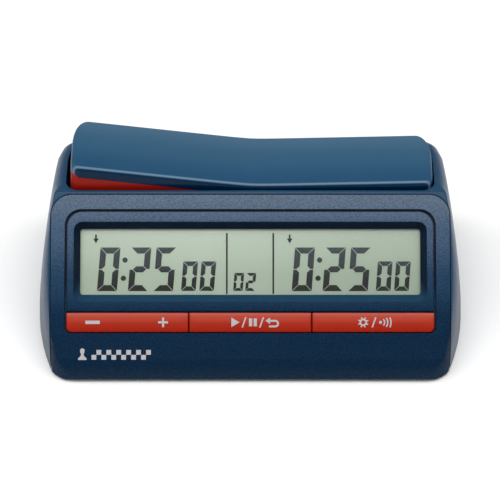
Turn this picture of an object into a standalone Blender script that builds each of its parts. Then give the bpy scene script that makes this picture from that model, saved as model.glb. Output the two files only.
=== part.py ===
"""Digital chess clock with a rocking lever, a sloping display panel and three keys.

Right-handed, +Z up, the players' side faces -Y, the base rests on z = 0 and the origin is under the
middle of the clock. Dimensions are millimetres here and become metres in the meshes.

Two local frames are used. FLOOR measures x, depth from the front lip and height. PANEL lies in the
sloping panel: x, distance up the slope from the panel's top edge (so it is negative on the panel)
and height above the panel's surface.
"""

import math

import bmesh
import bpy
from mathutils import Matrix, Vector

MM = 0.001
GAP = 0.3

# Casing envelope
HALF_WIDTH = 76.9
DEPTH = 92.0
BASE_Z = 1.0
TOP_Z = 49.6
SLOPE = math.radians(43.0)
PANEL_TOP_DEPTH = 45.5
PANEL_TOP_Z = 49.0
BACK_TOP_DEPTH = 77.4
BACK_LEAN = 0.30
WIDEST_DEPTH = 40.0
FRONT_BOW = 0.0050
REAR_BOW = 0.0015
DRAFT = 6.5
FRONT_CORNER = 5.5
REAR_CORNER = 8.0
LIP_RADIUS = 9.0
LIP_EDGE_RADIUS = 0.9
REAR_EDGE_RADIUS = 7.0
RIM_RADIUS = 6.0
FLAT_HALF_WIDTH = 70.95
WALL = 2.2
SIDE_WALL = 3.0

# Textured front panel, laid on the casing's slope
PANEL_HALF_WIDTH = 70.7
PANEL_THICKNESS = 1.5
PANEL_CORNER = 7.3
SHELF = 1.8
WINDOW_HALF_WIDTH = 65.35
WINDOW_TOP = 5.9
WINDOW_BOTTOM = 49.5

# Display recess
BEZEL_HALF_WIDTH = 65.0
BEZEL_TOP = 6.3
BEZEL_BOTTOM = 41.9
RECESS_HALF_WIDTH = 62.6
RECESS_TOP = 9.8
RECESS_BOTTOM = 38.4
VIEW_HALF_WIDTH = 60.5
VIEW_TOP = 12.5
VIEW_BOTTOM = 35.6
RECESS_DEPTH = 4.0

# Keys
KEY_TOP = 42.3
KEY_BOTTOM = 49.15
KEY_WIDTH = 43.15
KEY_PITCH = 43.5
KEY_PROUD = 0.15
KEY_FOOT = -5.4
PILL_RADIUS = 2.0

# Rocking lever
PIVOT_DEPTH = 61.3
PIVOT_Z = 42.2
LEVER_TILT = math.radians(3.15)
LEVER_V = math.radians(4.65)
LEVER_HALF = 64.5
LEVER_FRONT = 48.3
LEVER_BACK = 74.5
LEVER_TOP_Z = 51.9
CAP_HEIGHT = 4.5
BASE_HEIGHT = 8.0
PIN_RADIUS = 1.5
WELL_FLOOR_Z = 37.0
WELL_CLEARANCE = 1.2
FRONT_SHARE = 0.58
TUB_WALL = 2.0
POST_X = 45.0

# Underside
COVER_TOP_Z = 4.4
FOOT_RADIUS = 5.5
FEET = ((-58.0, 15.0), (58.0, 15.0), (-56.0, 72.0), (56.0, 72.0))
SCREWS = ((-68.4, 24.0), (68.4, 24.0), (-60.0, 83.5), (60.0, 83.5))
DOOR_HALF_WIDTH = 29.0
DOOR_FRONT = 50.0
DOOR_BACK = 91.1
TONGUE = 1.6
BAY_HALF_WIDTH = 31.0
BAY_FRONT = 49.0
BAY_BACK = 82.0
BAY_TOP_Z = 20.6
CELL_RADIUS = 7.1
CELL_LENGTH = 49.0
CELL_Z = 11.6
CELL_DEPTHS = (58.0, 73.2)
WIRE_Z = 15.5

for leftover in list(bpy.data.objects):
    bpy.data.objects.remove(leftover, do_unlink=True)


def collection(name):
    made = bpy.data.collections.new(name)
    bpy.context.scene.collection.children.link(made)
    return made


PARTS = collection("chess_clock")
CUTTERS = collection("cutters")

FLOOR = Matrix.Translation(Vector((0.0, -DEPTH / 2, 0.0)) * MM)
PANEL = (
    Matrix.Translation(Vector((0.0, PANEL_TOP_DEPTH - DEPTH / 2, PANEL_TOP_Z)) * MM)
    @ Matrix.Rotation(SLOPE, 4, "X")
)


def material(name, colour, roughness, metallic=0.0, transmission=0.0):
    made = bpy.data.materials.new(name)
    made.use_nodes = True
    shader = made.node_tree.nodes["Principled BSDF"]
    shader.inputs["Base Color"].default_value = (*colour, 1.0)
    shader.inputs["Roughness"].default_value = roughness
    shader.inputs["Metallic"].default_value = metallic
    shader.inputs["Transmission Weight"].default_value = transmission
    made.diffuse_color = (*colour, 1.0)
    return made


SMOOTH_BLUE = material("smooth_blue", (0.035, 0.095, 0.165), 0.32)
GRAINED_BLUE = material("grained_blue", (0.020, 0.060, 0.125), 0.55)
LEVER_RED = material("lever_red", (0.36, 0.035, 0.015), 0.40)
KEY_RED = material("key_red", (0.56, 0.075, 0.030), 0.45)
CLEAR = material("clear_lens", (0.90, 0.93, 0.90), 0.08, transmission=1.0)
LCD_GREEN = material("lcd_green", (0.48, 0.56, 0.46), 0.30)
REFLECTOR = material("reflector", (0.70, 0.72, 0.66), 0.40, 0.6)
BLACK = material("black_plastic", (0.020, 0.020, 0.022), 0.50)
BOARD = material("board_green", (0.03, 0.16, 0.07), 0.45)
EPOXY = material("epoxy_black", (0.015, 0.015, 0.015), 0.25)
METAL = material("bright_metal", (0.72, 0.72, 0.72), 0.28, 1.0)
STEEL = material("zinc_steel", (0.55, 0.56, 0.58), 0.35, 1.0)
SILICONE = material("silicone_grey", (0.32, 0.33, 0.34), 0.70)
CARBON = material("carbon_rubber", (0.02, 0.02, 0.02), 0.85)
RUBBER = material("foot_rubber", (0.03, 0.03, 0.03), 0.90)
CELL = material("cell_sleeve", (0.10, 0.12, 0.14), 0.35, 0.3)
WIRE_RED = material("wire_red", (0.50, 0.03, 0.02), 0.50)
WIRE_BLACK = material("wire_black", (0.02, 0.02, 0.02), 0.50)


# Building helpers


def make_object(name, bm, finish, frame=FLOOR, group=PARTS, sharp=35.0):
    """Turns a bmesh drawn in millimetres into an object standing in a frame."""
    bmesh.ops.recalc_face_normals(bm, faces=bm.faces)
    bmesh.ops.scale(bm, vec=Vector((MM, MM, MM)), verts=bm.verts)
    mesh = bpy.data.meshes.new(name)
    bm.to_mesh(mesh)
    bm.free()
    mesh.shade_smooth()
    mesh.set_sharp_from_angle(angle=math.radians(sharp))
    mesh.materials.append(finish)
    made = bpy.data.objects.new(name, mesh)
    made.matrix_world = frame
    group.objects.link(made)
    if group is CUTTERS:
        made.hide_render = True
        made.display_type = "WIRE"
    return made


def at(frame, x, y, z):
    """The same frame with its origin moved to a local point."""
    return frame @ Matrix.Translation(Vector((x, y, z)) * MM)


def fillet(corners, radii, steps):
    """Rounds the corners of a closed outline, each with its own radius and number of steps."""
    outline = []
    for index, corner in enumerate(corners):
        point = Vector(corner)
        to_last = (Vector(corners[index - 1]) - point).normalized()
        to_next = (Vector(corners[(index + 1) % len(corners)]) - point).normalized()
        half = to_last.angle(to_next) / 2
        radius = radii[index]
        centre = point + (to_last + to_next).normalized() * radius / math.sin(half)
        start = point + to_last * radius / math.tan(half) - centre
        end = point + to_next * radius / math.tan(half) - centre
        turn = start.angle_signed(end)
        for step in range(steps[index] + 1):
            arm = Matrix.Rotation(-turn * step / steps[index], 2) @ start
            outline.append(centre + arm)
    return outline


def rounded_rect(left, right, low, high, radius, steps=6):
    """An outline with round corners; radius is one number or (top, bottom)."""
    top, bottom = radius if isinstance(radius, tuple) else (radius, radius)
    corners = ((left, low), (right, low), (right, high), (left, high))
    return fillet(corners, (bottom, bottom, top, top), (steps,) * 4)


def prism(name, outline, low, high, finish, frame=FLOOR, group=PARTS):
    """An outline in the frame's x and y, carried from one height to another."""
    bm = bmesh.new()
    floor = [bm.verts.new((point[0], point[1], low)) for point in outline]
    face = bm.faces.new(floor)
    risen = bmesh.ops.extrude_face_region(bm, geom=[face])["geom"]
    top = [item for item in risen if isinstance(item, bmesh.types.BMVert)]
    bmesh.ops.translate(bm, verts=top, vec=(0.0, 0.0, high - low))
    return make_object(name, bm, finish, frame, group)


def box(name, x_span, y_span, z_span, finish, frame=FLOOR, group=PARTS):
    spans = (x_span, y_span, z_span)
    size = Vector([high - low for low, high in spans])
    middle = Vector([(high + low) / 2 for low, high in spans])
    bm = bmesh.new()
    bmesh.ops.create_cube(bm, size=1.0, matrix=Matrix.Translation(middle) @ Matrix.Diagonal((*size, 1.0)))
    return make_object(name, bm, finish, frame, group)


def cylinder(name, centre, radius, span, finish, frame=FLOOR, group=PARTS, axis="Z", segments=16):
    """A round bar along an axis of the frame; centre gives the two other coordinates."""
    length = span[1] - span[0]
    bm = bmesh.new()
    bmesh.ops.create_cone(
        bm, cap_ends=True, segments=segments, radius1=radius, radius2=radius, depth=length
    )
    middle = (span[0] + span[1]) / 2
    if axis == "X":
        turn, place = Matrix.Rotation(math.pi / 2, 4, "Y"), (middle, *centre)
    elif axis == "Y":
        turn, place = Matrix.Rotation(-math.pi / 2, 4, "X"), (centre[0], middle, centre[1])
    else:
        turn, place = Matrix.Identity(4), (*centre, middle)
    bmesh.ops.transform(bm, matrix=Matrix.Translation(place) @ turn, verts=bm.verts)
    return make_object(name, bm, finish, frame, group)


def loft(name, rings, finish, frame=FLOOR, group=PARTS, sharp=35.0):
    """Skins rings of equal count and closes the first and last."""
    bm = bmesh.new()
    grid = [[bm.verts.new(point) for point in ring] for ring in rings]
    count = len(rings[0])
    for near, far in zip(grid, grid[1:]):
        for index in range(count):
            after = (index + 1) % count
            bm.faces.new((near[index], near[after], far[after], far[index]))
    bm.faces.new(grid[0])
    bm.faces.new(grid[-1])
    bmesh.ops.triangulate(bm, faces=bm.faces)
    return make_object(name, bm, finish, frame, group, sharp)


def combine(target, other, operation):
    step = target.modifiers.new(operation.lower(), "BOOLEAN")
    step.operation = operation
    step.object = other
    step.solver = "EXACT"


def cut(target, *others):
    for other in others:
        combine(target, other, "DIFFERENCE")


def join(target, *others):
    for other in others:
        combine(target, other, "UNION")


def soften(target, width, segments=2, limit=40.0):
    step = target.modifiers.new("soften", "BEVEL")
    step.width = width * MM
    step.segments = segments
    step.limit_method = "ANGLE"
    step.angle_limit = math.radians(limit)


def cutter(shape, name, *arguments, **keywords):
    return shape("cut_" + name, *arguments, SMOOTH_BLUE, group=CUTTERS, **keywords)


# Casing surface


def corner_cut(distance, radius):
    """How far a round plan corner pulls the side in at a distance from the end."""
    reach = min(max(radius - distance, 0.0), radius)
    return radius - math.sqrt(radius**2 - reach**2)


def smooth_step(value, start, end):
    part = min(max((value - start) / (end - start), 0.0), 1.0)
    return part * part * (3 - 2 * part)


def back_depth(z):
    """Depth of the leaning back wall at a height."""
    return BACK_TOP_DEPTH + (TOP_Z - z) * BACK_LEAN


def side_x(depth, z):
    """Half-width of the barrel-shaped side at a depth and height."""
    bow = (FRONT_BOW if depth < WIDEST_DEPTH else REAR_BOW) * (depth - WIDEST_DEPTH) ** 2
    draft = DRAFT * (max(z, 0.0) / PANEL_TOP_Z) ** 1.5
    ends = corner_cut(depth, FRONT_CORNER) + corner_cut(back_depth(z) - depth, REAR_CORNER)
    return HALF_WIDTH - bow - draft - ends


def flat_x(depth, z):
    """Half-width of the flat of the panel or top before the rim rounds over."""
    margin = 0.6 + 3.2 * smooth_step(depth, 44.0, 52.0)
    panel = FLAT_HALF_WIDTH - corner_cut(depth, FRONT_CORNER)
    return min(panel, side_x(depth, z) - margin)


def subdivide(start, end, count):
    return [start.lerp(end, step / count) for step in range(1, count)]


def casing_profile(front, panel, top, back, floor_z):
    """Side outline of the casing, each wall moved inwards by its own distance."""
    back_shift = back * math.hypot(1.0, BACK_LEAN)
    level = PANEL_TOP_Z - panel / math.cos(SLOPE)
    top_z = TOP_Z - top
    corners = (
        (front, floor_z),
        (front, level - (PANEL_TOP_DEPTH - front) * math.tan(SLOPE)),
        (PANEL_TOP_DEPTH + (top_z - level) / math.tan(SLOPE), top_z),
        (back_depth(top_z) - back_shift, top_z),
        (back_depth(floor_z) - back_shift, floor_z),
    )
    radii = (
        0.6,
        max(LIP_RADIUS - panel, 1.0),
        LIP_EDGE_RADIUS,
        max(REAR_EDGE_RADIUS - top, 1.5),
        0.6,
    )
    steps = (1, 5, 2, 5, 1)
    spans = (1, 8, 4, 5, 9)
    rounded = fillet(corners, radii, steps)
    outline, first = [], 0
    for step_count, span in zip(steps, spans):
        last = first + step_count
        outline += rounded[first:last + 1]
        outline += subdivide(rounded[last], rounded[(last + 1) % len(rounded)], span)
        first = last + 1
    return outline


def casing_loft(name, finish, front=0.0, panel=0.0, top=0.0, back=0.0, side=0.0, fade=False,
                floor_z=BASE_Z, group=PARTS):
    """The casing's form, or the same form moved inwards. With fade, the sides move in only at the
    front corners."""

    def inset_at(depth):
        return side * (1.0 - smooth_step(depth, 6.0, 13.0)) if fade else side

    def ring(sign, drop, spread):
        points = []
        for depth, z in casing_profile(front + 0.85 * drop, panel + drop, top + drop,
                                       back + 0.5 * drop, floor_z):
            flat = flat_x(depth, z) - inset_at(depth)
            edge = side_x(depth, z) - inset_at(depth)
            points.append(Vector((sign * (flat + spread * (edge - flat)), depth, z)))
        return points

    def cheek(sign, shrink):
        rim = ring(sign, RIM_RADIUS, 1.0)
        heart = sum(rim, Vector()) / len(rim)
        points = []
        for point in rim:
            moved = heart + (point - heart) * shrink
            points.append(Vector((sign * (side_x(moved.y, moved.z) - inset_at(moved.y)), moved.y, moved.z)))
        return points

    def end_rings(sign):
        made = []
        for step in range(5):
            turn = math.pi / 2 * step / 4
            made.append(ring(sign, RIM_RADIUS * (1 - math.cos(turn)), math.sin(turn)))
        made += [cheek(sign, shrink) for shrink in (0.78, 0.50, 0.22)]
        return made

    rings = list(reversed(end_rings(-1))) + end_rings(1)
    return loft(name, rings, finish, group=group, sharp=32.0)


# Casing and front panel


def lever_plan(x, grow=0.0):
    """Front and back depth of the lever's plan at a distance from its middle. Growing it gives the
    well's plan; the front grows less, because the casing's lip is narrow there."""
    half = LEVER_HALF + grow
    corner = 2.5 + grow
    reach = min(max(abs(x) - (half - corner), 0.0), corner)
    front = LEVER_FRONT - grow * FRONT_SHARE + corner - math.sqrt(corner**2 - reach**2)
    end_x, end_y = 7.5 + grow / 2, 17.0 + grow
    reach = min(max(abs(x) - (half - end_x), 0.0) / end_x, 1.0)
    back = LEVER_BACK + grow - end_y * (1 - math.sqrt(1 - reach**2))
    return front, back


def lever_stations(half, count):
    return [half * math.sin(math.pi / 2 * step / count) for step in range(-count, count + 1)]


def well_outline(grow):
    stations = lever_stations(LEVER_HALF + grow, 10)
    front = [(x, lever_plan(x, grow)[0]) for x in stations]
    back = [(x, lever_plan(x, grow)[1]) for x in reversed(stations)]
    return front + back


def panel_cutter(name, half, top, corner):
    """A block square to the panel, open at the front lip."""
    outline = rounded_rect(-half, half, -90.0, -top, (corner, 1.0), 8)
    return cutter(prism, name, outline, -40.0, 12.0, frame=PANEL)


def window(name, half, top, bottom, corner_top, corner_bottom, low=-30.0, high=12.0):
    outline = rounded_rect(-half, half, -bottom, -top, (corner_top, corner_bottom), 5)
    return cutter(prism, name, outline, low, high, frame=PANEL)


def make_casing():
    casing = casing_loft("upper_casing", SMOOTH_BLUE)
    cavity = casing_loft("cut_cavity", SMOOTH_BLUE, front=WALL + SHELF, panel=SHELF + WALL, top=WALL,
                         back=WALL, side=SIDE_WALL, floor_z=-6.0, group=CUTTERS)
    tub_outline = well_outline(WELL_CLEARANCE + TUB_WALL)
    cut(cavity, cutter(prism, "tub", tub_outline, WELL_FLOOR_Z - TUB_WALL, 70.0))
    shelf = casing_loft("cut_shelf", SMOOTH_BLUE, front=-2.0, panel=-2.0, top=-3.0, side=-2.0,
                        floor_z=-3.0, group=CUTTERS)
    combine(shelf, panel_cutter("shelf_plan", PANEL_HALF_WIDTH + GAP, 0.0, PANEL_CORNER + GAP), "INTERSECT")
    cut(shelf, casing_loft("cut_shelf_keep", SMOOTH_BLUE, front=SHELF, panel=SHELF, top=-6.0, side=SHELF,
                           fade=True, floor_z=-6.0, group=CUTTERS))
    cut(casing, cavity, shelf)
    cut(casing, cutter(prism, "well", well_outline(WELL_CLEARANCE), WELL_FLOOR_Z, 70.0))
    cut(casing, window("bezel_throat", BEZEL_HALF_WIDTH - 0.6, BEZEL_TOP + 0.9, KEY_TOP + 0.4, 4.5, 0.8))
    cut(casing, window("key_throat", WINDOW_HALF_WIDTH, KEY_TOP - 0.4, WINDOW_BOTTOM, 0.5, 2.2))
    for side, (x, depth) in zip("abcd", SCREWS):
        height = 23.0 if depth < DEPTH / 2 else 16.5
        join(casing, cutter(cylinder, "boss_" + side, (x, depth), 2.7, (COVER_TOP_Z + GAP, height)))
    for side, (x, depth) in zip("abcd", SCREWS):
        cut(casing, cutter(cylinder, "boss_bore_" + side, (x, depth), 1.6, (0.0, 14.0)))
    for sign in (-1, 1):
        cut(casing, cutter(cylinder, f"post_hole_{sign}", (sign * POST_X, PIVOT_DEPTH), 3.0, (30.0, 40.0)))
    cut(casing, cutter(cylinder, "pin_hole", (0.0, PIVOT_Z), PIN_RADIUS + GAP, (45.9, 77.4), axis="Y"))
    cut(casing, cutter(box, "door_notch", (-31.2, 31.2), (84.0, 96.0), (-2.0, 3.6)))


def make_front_panel():
    panel = casing_loft("front_panel", GRAINED_BLUE, top=-3.0)
    outline = panel_cutter("panel_outline", PANEL_HALF_WIDTH, GAP, PANEL_CORNER)
    combine(panel, outline, "INTERSECT")
    cut(panel, casing_loft("cut_panel_back", SMOOTH_BLUE, front=PANEL_THICKNESS, panel=PANEL_THICKNESS,
                           top=-6.0, side=PANEL_THICKNESS, fade=True, floor_z=-6.0, group=CUTTERS))
    cut(panel, window("window", WINDOW_HALF_WIDTH, WINDOW_TOP, WINDOW_BOTTOM, 5.8, 2.2))


# Display


def panel_plate(name, half, top, bottom, low, high, finish, radius=0.6, steps=4):
    """A flat plate lying in the panel's frame, its edges given down the slope."""
    outline = rounded_rect(-half, half, -bottom, -top, radius, steps)
    return prism(name, outline, low, high, finish, frame=PANEL)


def make_bezel():
    bezel = panel_plate("display_bezel", BEZEL_HALF_WIDTH, BEZEL_TOP, BEZEL_BOTTOM, -PANEL_THICKNESS, 0.0,
                        GRAINED_BLUE, (5.4, 0.5), 8)
    throat_outline = rounded_rect(-BEZEL_HALF_WIDTH + 0.9, BEZEL_HALF_WIDTH - 0.9, -BEZEL_BOTTOM + 0.4,
                                  -BEZEL_TOP - 1.2, (4.2, 0.5), 8)
    join(bezel, cutter(prism, "throat", throat_outline, -6.1, -PANEL_THICKNESS / 2, frame=PANEL))
    funnel = []
    for half, top, bottom, corner, height in (
        (RECESS_HALF_WIDTH + 0.7, RECESS_TOP - 0.7, RECESS_BOTTOM + 0.7, 3.9, 1.0),
        (VIEW_HALF_WIDTH, VIEW_TOP, VIEW_BOTTOM, 1.0, -RECESS_DEPTH),
    ):
        outline = rounded_rect(-half, half, -bottom, -top, corner, 6)
        funnel.append([Vector((x, y, height)) for x, y in outline])
    cut(bezel, cutter(loft, "funnel", funnel, frame=PANEL))
    cut(bezel, window("view", VIEW_HALF_WIDTH - 0.02, VIEW_TOP + 0.02, VIEW_BOTTOM - 0.02, 0.95, 0.95,
                      high=-3.0))
    cut(bezel, window("lens_pocket", 62.1, 10.7, 37.4, 1.2, 1.2, high=-4.25))


def make_display():
    panel_plate("display_lens", 61.8, 11.0, 37.1, -5.2, -4.55, CLEAR, 1.0)
    panel_plate("lcd_glass", 61.6, 11.2, 36.9, -7.2, -5.5, LCD_GREEN, 0.5)
    holder = panel_plate("lcd_holder", 62.4, 10.9, 40.4, -9.3, -7.5, BLACK, 1.0)
    cut(holder, window("holder_window", 56.0, 14.0, 34.2, 0.5, 0.5))
    panel_plate("lcd_reflector", 55.6, 16.3, 31.9, -8.0, -7.5, REFLECTOR, 0.4)
    for name, top in (("zebra_strip_upper", 14.4), ("zebra_strip_lower", 32.4)):
        panel_plate(name, 54.0, top, top + 1.5, -9.3, -7.5, SILICONE, 0.3)
    board = panel_plate("main_board", 62.0, 11.2, 50.6, -11.2, -9.6, BOARD, 1.0)
    for index, (x, slope) in enumerate(((-60.2, 12.9), (60.2, 12.9), (-60.2, 38.4), (60.2, 38.4)), 1):
        hole = cutter(cylinder, f"board_hole_{index}", (x, -slope), 1.2, (-12.0, -7.0), frame=PANEL)
        cut(board, hole)
        cut(holder, hole)
        screw = cylinder(f"board_screw_{index}", (x, -slope), 2.0, (-12.7, -11.5), STEEL, frame=PANEL)
        join(screw, cutter(cylinder, f"board_shank_{index}", (x, -slope), 0.9, (-12.0, -7.9), frame=PANEL))
    chip = cylinder("clock_chip", (-18.0, -26.0), 6.5, (-13.2, -11.5), EPOXY, frame=PANEL, segments=28)
    soften(chip, 1.1, 1)
    crystal = panel_plate("quartz_crystal", 0.8, 30.0, 36.2, -13.6, -11.5, METAL, 0.75, 4)
    crystal.location += PANEL.to_3x3() @ Vector((4.0, 0.0, 0.0)) * MM
    cylinder("capacitor", (20.0, -24.0), 2.5, (-17.0, -11.5), CELL, frame=PANEL)
    cylinder("buzzer", (-48.0, 44.0), 7.0, (COVER_TOP_Z + GAP, 8.4), BLACK, segments=32)


# Keys


def make_key(name, middle, pills):
    """A key cap with its foot, drawn about the middle of its front face."""
    frame = at(PANEL, middle, -(KEY_TOP + KEY_BOTTOM) / 2, 0.0)
    half_x, half_y = KEY_WIDTH / 2, (KEY_BOTTOM - KEY_TOP) / 2
    outline = rounded_rect(-half_x, half_x, -half_y, half_y, key_corners(middle), 5)
    key = prism(name, outline, KEY_FOOT, KEY_PROUD, KEY_RED, frame)
    step = key.modifiers.new("edge", "BEVEL")
    step.width = 0.35 * MM
    step.segments = 2
    step.limit_method = "ANGLE"
    step.angle_limit = math.radians(60.0)
    foot = cutter(box, name + "_foot", (-half_x + 1.0, half_x - 1.0), (-half_y - 0.9, half_y - 0.4),
                  (KEY_FOOT - 0.02, KEY_FOOT + 0.7), frame=frame)
    join(key, foot)
    for pill_name, x in pills:
        stem = cutter(cylinder, pill_name + "_stem", (x, 0.0), 1.6, (-7.6, KEY_FOOT + 0.5), frame=frame)
        join(key, stem)
        cylinder(pill_name, (x, 0.0), PILL_RADIUS, (-8.6, -7.9), CARBON, frame=frame, segments=20)


def key_corners(middle):
    """Round lower corners only where the row of keys ends."""
    return (0.4, 1.8) if abs(middle) > 1.0 else (0.4, 0.4)


def make_keys():
    make_key("plus_minus_key", -KEY_PITCH, (("minus_pill", -13.0), ("plus_pill", 13.0)))
    make_key("start_key", 0.0, (("start_pill", 0.0),))
    make_key("setup_key", KEY_PITCH, (("setup_pill", 0.0),))
    mat = panel_plate("keypad_mat", 61.0, 41.4, 50.2, -9.3, -8.7, SILICONE, 0.8)
    row = -(KEY_TOP + KEY_BOTTOM) / 2
    for index, x in enumerate((-KEY_PITCH - 13.0, -KEY_PITCH + 13.0, 0.0, KEY_PITCH)):
        cut(mat, cutter(cylinder, f"mat_hole_{index}", (x, row), 2.6, (-10.0, -8.0), frame=PANEL,
                        segments=20))


# Lever


def lever_loft(name, finish, top_drop, height, edge, inset, frame):
    """A length of the lever's V-shaped section, lofted from end to end about the pivot."""

    def section(x):
        front, back = lever_plan(x, -inset)
        end = min(max(abs(x) - (LEVER_HALF - inset - edge), 0.0), edge)
        drop = edge - math.sqrt(edge**2 - end**2)
        rise = math.tan(LEVER_V) * (math.hypot(x, 7.0) - 7.0)
        top = LEVER_TOP_Z - top_drop + rise
        low = top - height
        crown = top - drop
        outline = [(front, low)]
        for step in range(4):
            turn = math.pi / 2 * step / 3
            outline.append((front + edge * (1 - math.cos(turn)), crown - edge * (1 - math.sin(turn))))
        for step in range(4):
            turn = math.pi / 2 * (1 - step / 3)
            outline.append((back - edge * (1 - math.cos(turn)), crown - edge * (1 - math.sin(turn))))
        outline.append((back, low))
        return [Vector((x, depth - PIVOT_DEPTH, z - PIVOT_Z)) for depth, z in outline]

    rings = [section(x) for x in lever_stations(LEVER_HALF - inset, 14)]
    return loft(name, rings, finish, frame, sharp=28.0)


def make_lever():
    axis = bpy.data.objects.new("lever_axis", None)
    PARTS.objects.link(axis)
    axis.matrix_world = at(FLOOR, 0.0, PIVOT_DEPTH, PIVOT_Z) @ Matrix.Rotation(LEVER_TILT, 4, "Y")
    bpy.context.view_layer.update()
    frame = axis.matrix_world.copy()
    lever_loft("lever_cap", SMOOTH_BLUE, 0.0, CAP_HEIGHT, 1.5, 0.0, frame)
    base = lever_loft("lever_base", LEVER_RED, CAP_HEIGHT + GAP, BASE_HEIGHT, 0.4, 0.15, frame)
    for sign in (-1, 1):
        span = sorted((sign * 6.0, sign * 58.0))
        pocket = cutter(box, f"lever_pocket_{sign}", span, (-11.0, 8.0), (-9.0, 0.6), frame=frame)
        post = cutter(cylinder, f"lever_post_{sign}", (sign * POST_X, 0.0), 2.0, (-9.4, 2.0), frame=frame)
        cut(base, pocket)
        join(base, post)
    cut(base, cutter(cylinder, "lever_bore", (0.0, 0.0), PIN_RADIUS + GAP, (-20.0, 20.0), frame=frame,
                     axis="Y"))
    parts = [bpy.data.objects[name] for name in ("lever_cap", "lever_base")]
    for part in parts:
        part.parent = axis
        part.matrix_parent_inverse = Matrix.Identity(4)
        part.matrix_basis = Matrix.Identity(4)
    cylinder("lever_pin", (0.0, PIVOT_Z), PIN_RADIUS, (46.2, 77.0), STEEL, axis="Y", segments=20)


def make_switches():
    box("switch_board", (-52.0, 52.0), (55.0, 69.0), (23.4, 25.0), BOARD)
    for side, sign in (("left", -1), ("right", 1)):
        x = sign * POST_X
        switch = box(f"lever_switch_{side}", (x - 3.0, x + 3.0), (PIVOT_DEPTH - 3.0, PIVOT_DEPTH + 3.0),
                     (25.3, 28.6), BLACK)
        join(switch, cutter(cylinder, f"switch_button_{side}", (x, PIVOT_DEPTH), 1.7, (28.0, 30.2)))


# Underside


def make_base_cover():
    cover = casing_loft("base_cover", BLACK, front=WALL + SHELF + 0.35, panel=-4.0, top=-3.0,
                        back=WALL + 0.35, side=SIDE_WALL + 0.35, floor_z=-6.0)
    slab = cutter(box, "cover_slab", (-90.0, 90.0), (-5.0, 98.0), (BASE_Z, COVER_TOP_Z))
    combine(cover, slab, "INTERSECT")
    join(cover, cutter(box, "bay", (-BAY_HALF_WIDTH, BAY_HALF_WIDTH), (BAY_FRONT, BAY_BACK),
                       (2.0, BAY_TOP_Z)))
    cut(cover, cutter(box, "bay_room", (-28.6, 28.6), (BAY_FRONT + 1.4, BAY_BACK - 1.4),
                      (-3.0, BAY_TOP_Z - 1.6)))
    cut(cover, cutter(box, "door_room", (-DOOR_HALF_WIDTH - GAP, DOOR_HALF_WIDTH + GAP),
                      (DOOR_FRONT - GAP, 99.0), (-3.0, COVER_TOP_Z - 0.01)))
    tongue = DOOR_HALF_WIDTH + TONGUE + GAP
    cut(cover, cutter(box, "tongue_room", (-tongue, tongue), (DOOR_FRONT - GAP, 99.0), (1.9, 3.5)))
    for index, (x, depth) in enumerate(FEET, 1):
        cut(cover, cutter(cylinder, f"foot_room_{index}", (x, depth), FOOT_RADIUS + GAP, (-1.0, 2.3)))
        foot = cylinder(f"foot_{index}", (x, depth), FOOT_RADIUS, (0.0, 2.0), RUBBER, segments=24)
        soften(foot, 0.4, 1)
    for index, (x, depth) in enumerate(SCREWS, 1):
        cut(cover, cutter(cylinder, f"head_room_{index}", (x, depth), 3.0, (-1.0, 3.2)))
        cut(cover, cutter(cylinder, f"screw_hole_{index}", (x, depth), 1.6, (0.0, 6.0)))
        screw = cylinder(f"casing_screw_{index}", (x, depth), 2.6, (1.3, 2.9), STEEL)
        join(screw, cutter(cylinder, f"shank_{index}", (x, depth), 1.25, (2.0, 13.0)))
        cut(screw, cutter(box, f"slot_a_{index}", (x - 1.5, x + 1.5), (depth - 0.3, depth + 0.3), (0.0, 2.0)))
        cut(screw, cutter(box, f"slot_b_{index}", (x - 0.3, x + 0.3), (depth - 1.5, depth + 1.5), (0.0, 2.0)))
    cut(cover, cutter(box, "knob_slot", (43.5, 52.5), (38.0, 42.0), (-1.0, 6.0)))
    for index, depth in enumerate(CELL_DEPTHS, 1):
        cut(cover, cutter(cylinder, f"wire_hole_{index}", (depth, WIRE_Z), 1.2, (27.0, 33.0), axis="X",
                          segments=12))


def make_battery_door():
    door = box("battery_door", (-DOOR_HALF_WIDTH, DOOR_HALF_WIDTH), (DOOR_FRONT, DOOR_BACK),
               (BASE_Z, 3.2), BLACK)
    tongue = DOOR_HALF_WIDTH + TONGUE
    join(door, cutter(box, "tongue", (-tongue, tongue), (DOOR_FRONT + 0.5, 84.0), (2.2, 3.19)))
    for index in range(5):
        middle = 80.0 + 1.9 * index
        cut(door, cutter(box, f"grip_{index}", (-10.0, 10.0), (middle - 0.5, middle + 0.5), (0.0, 1.5)))


def make_cells():
    for index, (depth, facing) in enumerate(zip(CELL_DEPTHS, (1, -1)), 1):
        plus_end, minus_end = -27.3 * facing, (-27.3 + CELL_LENGTH) * facing
        cell = cylinder(f"battery_cell_{index}", (depth, CELL_Z), CELL_RADIUS,
                        sorted((plus_end + facing, minus_end)), CELL, axis="X", segments=24)
        nub_span = sorted((plus_end, plus_end + 2 * facing))
        join(cell, cutter(cylinder, f"nub_{index}", (depth, CELL_Z), 2.6, nub_span, axis="X"))
        plate_span = sorted((-28.2 * facing, -27.7 * facing))
        box(f"contact_plate_{index}", plate_span, (depth - 4.5, depth + 4.5),
            (CELL_Z - 5.0, CELL_Z + 5.0), METAL)
        coil_contact(index, depth, facing, minus_end)


def wire(name, points, radius, finish, resolution):
    """A round wire along points, as a curve with filled caps."""
    curve = bpy.data.curves.new(name, "CURVE")
    curve.dimensions = "3D"
    curve.bevel_depth = radius * MM
    curve.bevel_resolution = resolution
    curve.use_fill_caps = True
    spline = curve.splines.new("POLY")
    spline.points.add(len(points) - 1)
    for slot, point in zip(spline.points, points):
        slot.co = (*(Vector(point) * MM), 1.0)
    curve.materials.append(finish)
    made = bpy.data.objects.new(name, curve)
    made.matrix_world = FLOOR
    PARTS.objects.link(made)


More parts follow.
